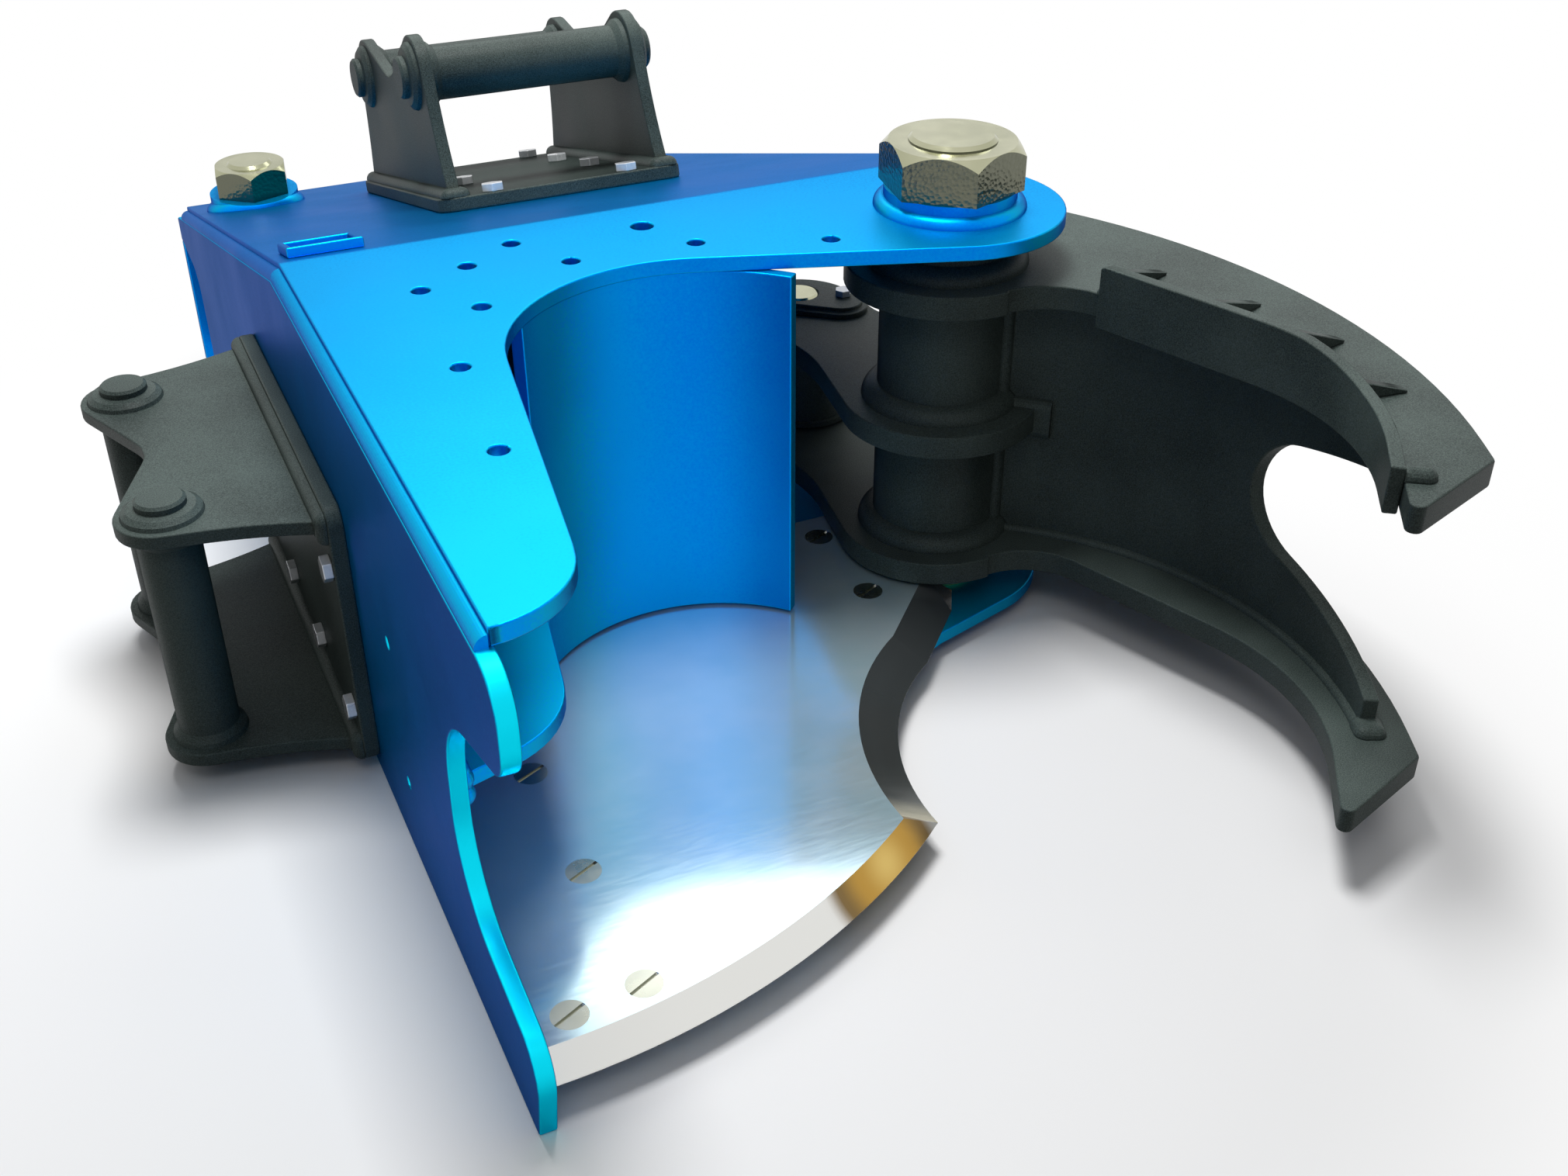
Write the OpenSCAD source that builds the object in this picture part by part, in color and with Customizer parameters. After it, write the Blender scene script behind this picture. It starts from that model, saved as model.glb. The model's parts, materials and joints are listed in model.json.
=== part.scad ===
// Hydraulic tree shear for an excavator.
// Origin on the axis of the main pivot at floor level, +X away from the side plate,
// +Y towards the rear of the frame, +Z up.

/* [Frame] */
// Height of the underside of the top plate above the floor
frame_height = 340; // [334:1:350]
// Thickness of the welded sheets of the frame
sheet = 12; // [11:0.5:13]
// Slope of the rear part of the top plate in degrees
slope = 15; // [14:0.25:16]
// Distance of the bend of the top plate behind the main pivot
bend_y = 99; // [94:1:104]
// Distance of the rear face behind the main pivot
rear_y = 751; // [746:1:760]
// Distance of the side plate's outer face from the main pivot
side_x = 515; // [512:1:518]

/* [Main pivot] */
// Diameter of the main pivot pin
pivot_d = 70; // [66:1:72]
// Outer diameter of the hub tube of the jaw
hub_d = 106; // [104:1:110]
// Width across flats of the main nut
nut_af = 101; // [98:1:104]
// Diameter of the rear cylinder pin
rear_pin_d = 45; // [42:1:48]

/* [Blade] */
// Thickness of the blade
blade_t = 18; // [16:0.5:20]
// Head diameter of the countersunk blade screws
screw_head_d = 24.8; // [23:0.2:26]

/* [Jaw] */
// Thickness of the arms and of the lever plates
arm_t = 20; // [18:0.5:22]
// Thickness of the curved web of the jaw
web_t = 12; // [10:0.5:14]
// Thickness of the grip strip on the upper arm
strip_t = 10; // [9:0.5:11]
// Diameter of the pin that carries the rod eye
rod_pin_d = 36; // [34:1:38]

/* [Cylinder] */
// Outer diameter of the barrel
barrel_d = 100; // [96:1:104]
// Bore of the barrel
bore_d = 80; // [78:1:82]
// Diameter of the piston rod
rod_d = 45; // [42:1:48]

/* [Brackets] */
// Diameter of the coupler pins
coupler_pin_d = 45; // [40:1:48]
// Distance between the two coupler pins of a bracket
coupler_pitch = 197; // [190:1:200]
// Clear width between the two ears of a bracket
ear_gap = 179; // [176:1:182]
// Height of the coupler pins above the face that the bracket is bolted to
coupler_rise = 112; // [108:0.5:116]

/* [Hidden] */
$fn = 72;
eps = 0.01;
over = 1;

// Colours
blue = [0.10, 0.46, 0.80];
charcoal = [0.20, 0.22, 0.22];
steel = [0.72, 0.73, 0.74];
nickel = [0.74, 0.71, 0.60];
bronze = [0.66, 0.52, 0.30];
zinc = [0.82, 0.84, 0.86];
rubber_black = [0.08, 0.08, 0.08];

// Fits
run_fit = 0.05;
face_gap = 0.3;
seat = 0.03;

// Levels of the frame
head_t = 12;
base_z = head_t;
base_top = base_z + sheet;
blade_top = base_top + blade_t;
top_z = frame_height;
top_face = top_z + sheet;
bend_r = 15;
tan_s = tan(slope);
bend_c = [bend_y - bend_r * tan(slope / 2), top_z - bend_r];
side_in = -side_x + sheet;
plate_inset = 8.6;
plate_left = -side_x + plate_inset;

// Levels of the jaw
arm_low = blade_top + 3.5;
arm_low_top = arm_low + arm_t;
arm_high_top = top_z - 33;
arm_high = arm_high_top - arm_t;
mid_top = 186;
mid_low = mid_top - arm_t;
washer_t = 3;

// Radii round the main pivot
pivot_r = pivot_d / 2;
hub_r = hub_d / 2;
hub_ring_r = hub_r + 30;
bush_wall = 4;

// Linkage
rod_pin_at = [-26, 221];
rear_pin_at = [-448, 620];
link = rod_pin_at - rear_pin_at;
link_len = norm(link);
link_angle = atan2(link[1], link[0]);
link_z = 116;
rod_pin_r = rod_pin_d / 2;
rear_pin_r = rear_pin_d / 2;
// Sideways shift of the eye's clearance bore, and the room that it leaves round the pin
eye_shift = 17.7;
eye_bore_r = rod_pin_r + 18.2;
eye_r = eye_bore_r + 6.3;
eye_half = (mid_low - arm_low_top) / 2 - 2.5;

// Points of an arc from angle a0 to a1 in n steps
function arc(c, r, a0, a1, n) =
  [for (i = [0:n]) c + r * [cos(a0 + (a1 - a0) * i / n), sin(a0 + (a1 - a0) * i / n)]];

// Direction of the common tangent from disc p to disc q of a belt
function tangent_dir(p, q) =
  let (d = [q[0] - p[0], q[1] - p[1]])
  atan2(d[1], d[0]) - asin(max(-1, min(1, (q[2] - p[2]) / norm(d))));

function wrap(a) = a - 360 * floor((a + 180) / 360);

// Steps of an arc that stay within the given sagitta
function arc_steps(r, turn) =
  max(1, ceil(abs(turn) / (2 * acos(1 - 0.12 / max(1, abs(r))))));

// Turn of the path on disc k: to the left where r is positive, to the right where negative
function disc_turn(r, a_in, a_out) =
  let (t = wrap(a_out - a_in))
  r > 0 && t < -1 ? t + 360 : r < 0 && t > 1 ? t - 360 : t;

// Closed outline that runs counter-clockwise round discs [x, y, r, steps]. A positive radius
// makes a convex corner, a negative one a hollow, and zero a sharp point. The steps are optional.
function belt(discs) =
  let (n = len(discs))
  [for (k = [0:n - 1])
    let (
      d = discs[k],
      a_in = tangent_dir(discs[(k + n - 1) % n], d),
      a_out = tangent_dir(d, discs[(k + 1) % n]),
      turn = disc_turn(d[2], a_in, a_out),
      m = d[2] == 0 ? 0 : len(d) > 3 ? d[3] : arc_steps(d[2], turn)
    )
    for (i = [0:m])
      let (a = m == 0 ? a_out : a_in + turn * i / m)
      [d[0] + d[2] * sin(a), d[1] - d[2] * cos(a)]
  ];

// Sheet of thickness t that lies at height z
module plate(z, t, outline) {
  translate([0, 0, z]) linear_extrude(t) polygon(outline);
}

// Profile in Y and Z, drawn out along X from x0 to x1
module along_x(x0, x1) {
  translate([x0, 0, 0]) rotate([90, 0, 90]) linear_extrude(x1 - x0) children();
}

// Ring of weld round a cylinder of radius r, on a face at height z, with leg w
module weld_ring(r, z, w) {
  translate([0, 0, z]) rotate_extrude() intersection() {
    translate([r, 0]) circle(w, $fn = 24);
    translate([r, 0]) square(2 * w);
  }
}

// Hexagon prism with the corners chamfered at the top
module hex_body(af, h) {
  intersection() {
    cylinder(r = af / sqrt(3), h = h, $fn = 6);
    rotate_extrude() polygon([
      [0, 0], [af / sqrt(3) + over, 0], [af / sqrt(3) + over, h - 0.1 * af],
      [af / 2, h], [0, h]
    ]);
  }
}

// Places a child on the slope: origin on the bend line of the top face
module on_slope() {
  translate([0, bend_y + sheet * tan(slope / 2), top_face]) rotate([-slope, 0, 0]) children();
}

function slope_top(y) = top_face - (y - bend_y - sheet * tan(slope / 2)) * tan_s;
function slope_under(y) = top_z - (y - bend_y) * tan_s;

// Profile of the top plate in Y and Z, between the offsets d0 and d1 from its underside
function bent_strip(d0, d1, y0, y1) =
  concat(
    [[y0, top_z + d0]],
    [for (i = [0:4])
      let (a = 90 - slope * i / 4) bend_c + (bend_r + d0) * [cos(a), sin(a)]],
    [[y1, slope_under(y1) + d0 / cos(slope)], [y1, slope_under(y1) + d1 / cos(slope)]],
    [for (i = [4:-1:0])
      let (a = 90 - slope * i / 4) bend_c + (bend_r + d1) * [cos(a), sin(a)]],
    [[y0, top_z + d1]]
  );

// Outline of the top plate
end_r = 92;
notch = [-269.6, -147.2, -134.8];
lobe = [-505.1, -357.6, 65.2];
back_inset = 30;
corner_r = 25;
top_outline = belt([
  [plate_left, lobe[1] - lobe[2], 0], lobe, notch, [0, 0, end_r],
  [-119.2, rear_y - back_inset - corner_r, corner_r], [plate_left, rear_y - back_inset, 0]
]);

// Small service holes of the top plate: x, y, diameter
top_holes = [
  [-238.3, 57.7, 17], [-340.2, 65.8, 13], [-213.7, 8.9, 13], [-382.5, 37.3, 13],
  [-310.7, 14.3, 13], [-425, 7.5, 13], [-394, -37.7, 13], [-434.2, -125.3, 13],
  [-445.4, -244.6, 13], [-118.5, -27.8, 13]
];

module top_plate() color(blue) difference() {
  intersection() {
    linear_extrude(top_face + over) polygon(top_outline);
    along_x(-side_x - over, end_r + over)
      polygon(bent_strip(0, sheet, lobe[1] - lobe[2] - over, rear_y));
  }
  for (h = top_holes)
    translate([h[0], h[1], top_z - 2 * sheet]) cylinder(d = h[2], h = 4 * sheet, $fn = 32);
  translate([0, 0, top_z - over]) cylinder(r = pivot_r, h = sheet + 2 * over);
  translate([rear_pin_at[0], rear_pin_at[1], base_top]) cylinder(r = rear_pin_r, h = top_z);
}

// Side plate: front edge with the hook, the round mouth behind the blade and the toe
toe = [-426, 46, 29];
hook_drop = 30;
rear_cut = [644, 140];
cut_r = 30;
side_outline = belt([
  [-446, 0, 0], [rear_cut[0], 0, 0],
  [rear_cut[0] + cut_r + 6, rear_cut[1] - cut_r - 3, -cut_r],
  [rear_y, rear_cut[1], 0], [rear_y, slope_under(rear_y), 0],
  [bend_c[0], bend_c[1], bend_r],
  [-426, top_z - hook_drop, hook_drop], [-429, top_z - hook_drop - 13, 27],
  [-396, 174, -80], [-380, 148, -66], toe
]);
side_holes = [[-173.1, 188.3], [-174.5, 70.7]];

module side_plate() color(blue) difference() {
  along_x(-side_x, side_in) polygon(side_outline);
  for (h = side_holes)
    translate([-side_x - over, h[0], h[1]]) rotate([0, 90, 0])
      cylinder(d = 9, h = sheet + 2 * over, $fn = 24);
}

// Bottom plate, which carries the blade and stays behind its edges
rear_face = rear_y - sheet;
bottom_outline = belt([
  [side_in, -414.6, 0], [-498.3, 89.4, 504], [-216, -300, 8], [-8, -311.9, -200],
  [-52, -112, 0], [0, 0, end_r + 0.5], [-119.2, rear_face - corner_r, corner_r],
  [side_in, rear_face, 0]
]);

module bottom_plate() color(blue) difference() {
  plate(base_z, sheet, bottom_outline);
  translate([0, 0, base_z - over]) cylinder(r = pivot_r + seat, h = sheet + 2 * over);
  translate([rear_pin_at[0], rear_pin_at[1], base_z - over])
    cylinder(r = rear_pin_r + seat, h = sheet + 2 * over);
  for (p = blade_screw_at)
    translate([p[0], p[1], base_z - over]) cylinder(r = screw_r, h = sheet + 2 * over);
}

// Rear sheet, with a flange that carries the rear edge of the top plate
flange_y = rear_y - 62;
flange_drop = sheet / cos(slope);
rear_right = -112;

module rear_plate() color(blue) {
  along_x(side_in, rear_right) polygon([
    [rear_face, 0], [rear_y, 0], [rear_y, slope_under(rear_y)],
    [flange_y, slope_under(flange_y)], [flange_y, slope_under(flange_y) - flange_drop],
    [rear_face, slope_under(rear_face) - flange_drop]
  ]);
  along_x(-side_x, side_in) polygon([
    [rear_face, 0], [rear_y, 0], [rear_y, rear_cut[1]], [rear_face, rear_cut[1] - 6]
  ]);
}

// Curved sheet behind the mouth, hung under the top plate
panel_t = 10;
panel_r = -notch[2] + 3.5;

module throat_panel() color(blue)
  translate([notch[0], notch[1], blade_top + 2]) rotate([0, 0, 41])
    rotate_extrude(angle = 96, $fn = 120)
      translate([panel_r, 0]) square([panel_t, top_z - blade_top - 2]);

// Stiffening plate at half height on the inside of the side plate
shelf_z = 148;
shelf_front = -294;
shelf_back = -47;

module shelf_plate() color(blue)
  plate(shelf_z, sheet, belt([
    [side_in, shelf_front, 0], [-485, -212, 74], [-379, shelf_back, 0],
    [side_in, shelf_back, 0]
  ]));

// Small bare raised frame on the slope
module plate_frame() color(blue) on_slope() difference() {
  translate([-497, 15, 0]) cube([58, 45, 8]);
  translate([-492, 20, -over]) cube([48, 35, 8 + 2 * over]);
}

// Weld along the left edge of the top plate, round the bend
weld_w = 8;
weld_profile = concat([[0, 0]], arc([0, 0], weld_w, 90, 180, 8));
weld_run = (rear_y - back_inset - 4 - bend_y) / cos(slope);

// Straight weld that starts at the bend and ends in the plane of the mitre
module bend_weld(length, tilt) {
  rotate([tilt, 0, 0]) difference() {
    translate([0, 30, 0]) rotate([90, 0, 0]) linear_extrude(length + 30)
      polygon(weld_profile);
    rotate([-slope / 2, 0, 0]) translate([-15, 0, -30]) cube([30, 60, 60]);
  }
}

module edge_weld() color(blue) translate([plate_left, bend_y, top_z]) {
  bend_weld(bend_y - lobe[1] + lobe[2], 0);
  mirror([0, 1, 0]) bend_weld(weld_run, slope);
}

// Weld along an edge parallel to Y, with rounded ends
module run_y(y0, y1, r) {
  hull() for (y = [y0 + r, y1 - r]) translate([0, y, 0]) sphere(r, $fn = 20);
}

module mouth_welds() color(blue) difference() {
  union() {
    translate([side_in, 0, shelf_z + sheet]) run_y(shelf_front - 10, shelf_back - 40, 8);
    translate([side_in, 0, shelf_z]) run_y(shelf_front - 10, shelf_back - 40, 8);
  }
  translate([-side_x - over, -500, 0]) cube([sheet + over, 1000, top_z]);
  plate(shelf_z, sheet, [
    [-side_x, shelf_front], [0, shelf_front], [0, 0], [-side_x, 0]
  ]);
}

// Collars, washers and pins of the frame
collar_h = 16;
nut_h = 36;
washer_gap = 0.3;

module pivot_collar() color(blue) {
  translate([0, 0, top_face]) difference() {
    cylinder(r = hub_r, h = collar_h);
    translate([0, 0, -over]) cylinder(r = pivot_r + seat, h = collar_h + 2 * over);
  }
  weld_ring(hub_r, top_face, weld_w);
}

rear_collar_r = 43;
rear_collar_top = slope_top(rear_pin_at[1] - rear_collar_r) + 4;

module below_slope() {
  along_x(-side_x, end_r) polygon([
    [bend_y, -over], [rear_y + over, -over], [rear_y + over, slope_top(rear_y + over)],
    [bend_y, slope_top(bend_y)]
  ]);
}

module rear_collar() color(blue) difference() {
  translate([rear_pin_at[0], rear_pin_at[1], 0]) {
    cylinder(r = rear_collar_r, h = rear_collar_top + over);
    translate([0, 0, slope_top(rear_pin_at[1])]) rotate([-slope, 0, 0])
      rotate_extrude() union() {
        square([rear_collar_r - 3, 8.5]);
        intersection() {
          translate([rear_collar_r - 3, 0]) circle(8.5, $fn = 24);
          square([2 * rear_collar_r, 8.5]);
        }
      }
  }
  below_slope();
  translate([rear_pin_at[0], rear_pin_at[1], 0])
    cylinder(r = rear_pin_r + seat, h = 2 * top_z);
  translate([rear_pin_at[0], rear_pin_at[1], rear_collar_top])
    cylinder(r = 2 * rear_collar_r, h = top_z);
}

boss_r = 36;
barrel_eye_half = 38;

module rear_bosses() color(blue) difference() {
  translate([rear_pin_at[0], rear_pin_at[1], 0]) {
    translate([0, 0, base_top]) cylinder(r = boss_r, h = link_z - barrel_eye_half - face_gap - base_top);
    difference() {
      translate([0, 0, link_z + barrel_eye_half + face_gap]) cylinder(r = boss_r, h = top_z);
      translate([0, -rear_pin_at[1], 0]) along_x(-side_x, side_x) polygon([
        [bend_y, slope_under(bend_y)], [rear_y + over, slope_under(rear_y + over)],
        [rear_y + over, 2 * top_z], [bend_y, 2 * top_z]
      ]);
    }
  }
  translate([rear_pin_at[0], rear_pin_at[1], 0])
    cylinder(r = rear_pin_r + seat, h = 2 * top_z);
}

module washer_ring(z) translate([0, 0, z]) difference() {
  cylinder(r = hub_r - 1, h = washer_t);
  translate([0, 0, -over]) cylinder(r = pivot_r + seat, h = washer_t + 2 * over);
}

module thrust_washers() color(bronze) {
  washer_ring(base_top);
  washer_ring(top_z - washer_t);
}

// Pin with a round head under the frame and a chamfered end
module headed_pin(r, head_r, top) {
  rotate_extrude() polygon([
    [0, 0], [head_r - 2, 0], [head_r, 2], [head_r, head_t], [r, head_t], [r, top - 3],
    [r - 3, top], [0, top]
  ]);
}

nut_z = top_face + collar_h;

module pivot_pin() color(nickel) headed_pin(pivot_r, 50, nut_z + nut_h + 4);

module pivot_nut() color(nickel) translate([0, 0, nut_z]) rotate([0, 0, 20]) difference() {
  hex_body(nut_af, nut_h);
  translate([0, 0, -over]) cylinder(r = pivot_r + seat, h = nut_h + 2 * over);
}

rear_nut_h = 28;

module rear_pin() color(nickel) translate([rear_pin_at[0], rear_pin_at[1], 0])
  headed_pin(rear_pin_r, 34, rear_collar_top + rear_nut_h + 3);

module rear_nut() color(nickel)
  translate([rear_pin_at[0], rear_pin_at[1], rear_collar_top]) rotate([0, 0, 20.5])
    difference() {
      hex_body(67, rear_nut_h);
      translate([0, 0, -over]) cylinder(r = rear_pin_r + seat, h = rear_nut_h + 2 * over);
    }

// Blade, ground from above along its outer and its inner edge
blade_screw_at = [
  [-426, -51], [-426, -166], [-426, -281], [-426, -395], [-477, -400], [-91, -53], [-90, 44]
];
screw_r = 8;
screw_head_r = screw_head_d / 2;
cone_h = 6;
bevel_land = 0.5;
edge_centre = [-498.3, 89.4];
edge_r = 524;
edge_bevel = 15.5;
inner_centre = [26.5, -311.9];
inner_r = 200;
inner_bevel = 30.5;
heel = [-28, -87];
heel_turn = [46.2, 60];
heel_bevel = [inner_bevel, 24];
boss_clear_r = 60;

// Plan outline, left oversize where the two ground edges run round arcs
blade_plan = [
  [side_in, -450], [-75, -450], [-75, -300], heel - 100 * [cos(46.2), sin(46.2)], heel,
  [10.3, -20.7], [-60, 75], [-130, 75], [-160, 5], [side_in, 5]
];

// Plane that grinds the straight part of the inner edge on one side of the heel
module heel_wedge(k) {
  s = (blade_t - bevel_land) / heel_bevel[k];
  translate([heel[0], heel[1], base_top + bevel_land]) rotate([0, 0, heel_turn[k]])
    translate([k == 0 ? -124.6 : -20, 0, 0]) rotate([90, 0, 90]) linear_extrude(170)
      polygon([[-12, -12 * s], [40, 40 * s], [-12, 40 * s]]);
}

module blade() color(steel) difference() {
  intersection() {
    translate([0, 0, base_top]) linear_extrude(blade_t) polygon(blade_plan);
    translate([edge_centre[0], edge_centre[1], base_top]) rotate_extrude() polygon([
      [0, -over], [edge_r, -over], [edge_r, bevel_land], [edge_r - edge_bevel, blade_t],
      [edge_r - edge_bevel, blade_t + over], [0, blade_t + over]
    ]);
  }
  translate([inner_centre[0], inner_centre[1], base_top]) rotate_extrude() polygon([
    [0, -over], [inner_r, -over], [inner_r, bevel_land], [inner_r + inner_bevel, blade_t],
    [inner_r + inner_bevel, blade_t + over], [0, blade_t + over]
  ]);
  heel_wedge(0);
  heel_wedge(1);
  translate([0, 0, base_top - over]) cylinder(r = boss_clear_r, h = blade_t + 2 * over);
  for (p = blade_screw_at) translate([p[0], p[1], 0]) screw_form(0);
}

module screw_form(room) {
  translate([0, 0, base_z]) cylinder(r = screw_r + room, h = blade_top - cone_h - base_z);
  translate([0, 0, blade_top - cone_h])
    cylinder(r1 = screw_r + room, r2 = screw_head_r + room, h = cone_h);
}

module blade_screws() color(steel) difference() {
  for (p = blade_screw_at) translate([p[0], p[1], 0]) screw_form(0);
  for (p = blade_screw_at)
    translate([p[0], p[1], blade_top]) rotate([0, 0, 25])
      cube([2 * screw_head_d, 2.4, 4], center = true);
}

// Bolt-on bracket with two ears and two coupler pins, standing on the plane z = 0,
// with the pins along X
bracket_len = 334;
bracket_w = 221.5;
bracket_t = 12;
ear_t = 11;
ear_in = ear_gap / 2;
lobe_r = 34;
pin_y = coupler_pitch / 2;
ear_foot = bracket_len / 2 - 8;

// Centre of the hollow flank of radius flare_r that runs from the foot to the lobe
flare_r = 340;
flare_chord = norm([ear_foot - pin_y, coupler_rise - bracket_t]);
flare_along = (flare_chord ^ 2 - (flare_r + lobe_r) ^ 2 + flare_r ^ 2) / (2 * flare_chord);
flare_across = sqrt(flare_r ^ 2 - flare_along ^ 2);
flare_tilt = atan2(coupler_rise - bracket_t, pin_y - ear_foot);
flare_y = ear_foot + flare_along * cos(flare_tilt) + flare_across * sin(flare_tilt);
flare_z = bracket_t + flare_along * sin(flare_tilt) - flare_across * cos(flare_tilt);
ear_outline = belt([
  [-ear_foot, bracket_t, 0], [ear_foot, bracket_t, 0],
  [flare_y, flare_z, 0.2 - flare_r], [pin_y, coupler_rise, lobe_r],
  [0, coupler_rise + 46, -46], [-pin_y, coupler_rise, lobe_r],
  [-flare_y, flare_z, 0.2 - flare_r]
]);
bolt_rows = [-61, 61];
bolt_head_h = 7;
bolt_r = 10.4;
bolt_y = [-156, -52, 52, 156];

module bracket_base() color(charcoal) difference() {
  plate(0, bracket_t, belt([for (c = [[-1, -1], [1, -1], [1, 1], [-1, 1]])
    [c[0] * (bracket_w / 2 - 14), c[1] * (bracket_len / 2 - 14), 14]]));
  for (x = bolt_rows, y = bolt_y)
    translate([x, y, -over]) cylinder(r = 6, h = bracket_t + 2 * over, $fn = 24);
}

module bracket_ears() color(charcoal) for (s = [-1, 1]) difference() {
  along_x(s > 0 ? ear_in : -ear_in - ear_t, s > 0 ? ear_in + ear_t : -ear_in)
    polygon(ear_outline);
  for (y = [-pin_y, pin_y])
    translate([0, y, coupler_rise]) rotate([0, 90, 0])
      cylinder(d = coupler_pin_d + 2 * seat, h = 4 * ear_gap, center = true);
}

// Quarter disc of weld in the corner between a floor and a wall
bead_w = 7.5;
module quarter() intersection() {
  circle(bead_w, $fn = 24);
  square(bead_w);
}

// Weld all round a rectangular foot of size a by b, with rounded corners
module foot_weld(a, b) for (k = [0, 180]) rotate([0, 0, k]) {
  translate([a / 2, b / 2, 0]) rotate([90, 0, 0]) linear_extrude(b) quarter();
  translate([-a / 2, b / 2, 0]) rotate([90, 0, 90]) linear_extrude(a) quarter();
  translate([a / 2, b / 2, 0]) rotate_extrude(angle = 90) quarter();
  translate([-a / 2, b / 2, 0]) rotate([0, 0, 90]) rotate_extrude(angle = 90) quarter();
}

module bracket_beads() color(charcoal) for (s = [-1, 1])
  translate([s * (ear_in + ear_t / 2), 0, bracket_t]) foot_weld(ear_t, 2 * ear_foot);

module bracket_bolts() color(zinc) for (x = bolt_rows, y = bolt_y) translate([x, y, 0]) {
  cylinder(r = 6, h = bracket_t, $fn = 24);
  translate([0, 0, bracket_t]) rotate([0, 0, 15]) cylinder(r = bolt_r, h = bolt_head_h, $fn = 6);
}

// Coupler pin with an inner collar and an outer stepped cap at each end
module coupler_pin(side) color(charcoal)
  translate([0, side * pin_y, coupler_rise]) rotate([0, 90, 0]) rotate_extrude() polygon([
    for (s = [-1, 1]) each mirror_points(s, [
      [0, ear_in + ear_t + 13], [16, ear_in + ear_t + 13], [18, ear_in + ear_t + 11],
      [18, ear_in + ear_t + 7], [24, ear_in + ear_t + 6], [28, ear_in + ear_t + 3],
      [29, ear_in + ear_t], [coupler_pin_d / 2, ear_in + ear_t],
      [coupler_pin_d / 2, ear_in], [28, ear_in], [27, ear_in - 4], [coupler_pin_d / 2, ear_in - 9]
    ])
  ]);

// Points of a turned profile, the second half mirrored and in reverse order
function mirror_points(s, points) =
  s < 0 ? [for (p = points) [p[0], -p[1]]]
        : [for (i = [len(points) - 1:-1:0]) points[i]];

top_bracket_x = -234.2;
side_bracket_at = [98, 123.75];
rise_start = 160.5;

module on_top_bracket() on_slope()
  translate([top_bracket_x, rise_start + bracket_len / 2, 0]) children();

module on_side_bracket()
  translate([-side_x, side_bracket_at[0], side_bracket_at[1]]) rotate([0, -90, 0]) children();

module top_bracket_base() on_top_bracket() bracket_base();
module top_bracket_ears() on_top_bracket() bracket_ears();
module top_bracket_beads() on_top_bracket() bracket_beads();
module top_bracket_bolts() on_top_bracket() bracket_bolts();
module top_bracket_front_pin() on_top_bracket() coupler_pin(-1);
module top_bracket_rear_pin() on_top_bracket() coupler_pin(1);
module side_bracket_base() on_side_bracket() bracket_base();
module side_bracket_ears() on_side_bracket() bracket_ears();
module side_bracket_beads() on_side_bracket() bracket_beads();
module side_bracket_bolts() on_side_bracket() bracket_bolts();
module side_bracket_front_pin() on_side_bracket() coupler_pin(-1);
module side_bracket_rear_pin() on_side_bracket() coupler_pin(1);

// Jaw: hub tube, three plates, the curved web and the grip strip
hub_bottom = base_top + washer_t + washer_gap;
hub_top = top_z - washer_t - washer_gap;
hub_bore_r = pivot_r + run_fit + bush_wall;
web_c = [-141.8, -279.1];
web_r = 300;
web_end = -23.7;
arm_back = [88.3, 71.3, 30];
arm_outer = [-278.3, -204.9, 490.5];
arm_fillet = [16, -138.5, -59];
arm_inner = [-60.5, -310.3, -189];
tip_out = [147, -442.3, 4];
tip_in = [67.5, -466.8, 6];
arm_outline = belt([
  tip_out, arm_outer, arm_back, [0, 0, hub_ring_r], arm_fillet, arm_inner, tip_in
]);
lever_end = [rod_pin_at[0], rod_pin_at[1], 55];
lever_waist = [-208, 108, -140];
lever_fillet = [70, 182.7, -40];
lever_outline = belt([
  tip_out, arm_outer, arm_back, lever_fillet, lever_end, lever_waist,
  [0, 0, hub_ring_r], arm_fillet, arm_inner, tip_in
]);
middle_outline = belt([
  [118, 84, 0], lever_fillet, lever_end, lever_waist, [0, 0, hub_ring_r], [84, -40, 0]
]);

module hub_hole() translate([0, 0, -over]) cylinder(r = hub_r, h = top_z);
module rod_pin_hole()
  translate([rod_pin_at[0], rod_pin_at[1], -over]) cylinder(r = rod_pin_r + seat, h = top_z);

module jaw_hub() color(charcoal) translate([0, 0, hub_bottom]) difference() {
  cylinder(r = hub_r, h = hub_top - hub_bottom);
  translate([0, 0, -over]) cylinder(r = hub_bore_r, h = hub_top);
}

bush_h = 70;

module hub_bushes() color(bronze) for (z = [hub_bottom, hub_top - bush_h])
  translate([0, 0, z]) difference() {
    cylinder(r = hub_bore_r, h = bush_h);
    translate([0, 0, -over]) cylinder(r = pivot_r + run_fit, h = bush_h + 2 * over);
  }

hub_bead_w = 13;

module hub_beads() color(charcoal)
  for (z = [arm_low_top, mid_top, arm_high_top]) weld_ring(hub_r, z, hub_bead_w);

module jaw_top_plate() color(charcoal) difference() {
  plate(arm_high, arm_t, arm_outline);
  hub_hole();
}

module jaw_bottom_plate() color(charcoal) difference() {
  plate(arm_low, arm_t, lever_outline);
  hub_hole();
  rod_pin_hole();
}

module jaw_middle_plate() color(charcoal) difference() {
  plate(mid_low, arm_t, middle_outline);
  hub_hole();
  rod_pin_hole();
  web_wall(web_r, web_t, mid_low - over, mid_top + over, 20, 60);
  keeper_bolt_hole();
}

// Curved wall about the centre of the web
module web_wall(r, t, z0, z1, a0, a1)
  translate([web_c[0], web_c[1], z0]) rotate([0, 0, a0])
    rotate_extrude(angle = a1 - a0, $fn = 144) translate([r, 0]) square([t, z1 - z0]);

mouth_cut = [40, 176.5, 51];

module web_cut()
  translate([web_c[0], web_c[1], 0]) rotate([0, 0, -7])
    translate([web_r - 60, 0, 0]) along_x(0, 120)
      polygon(belt([mouth_cut, [-150, 280, 0], [-150, 73, 0]]));

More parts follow.
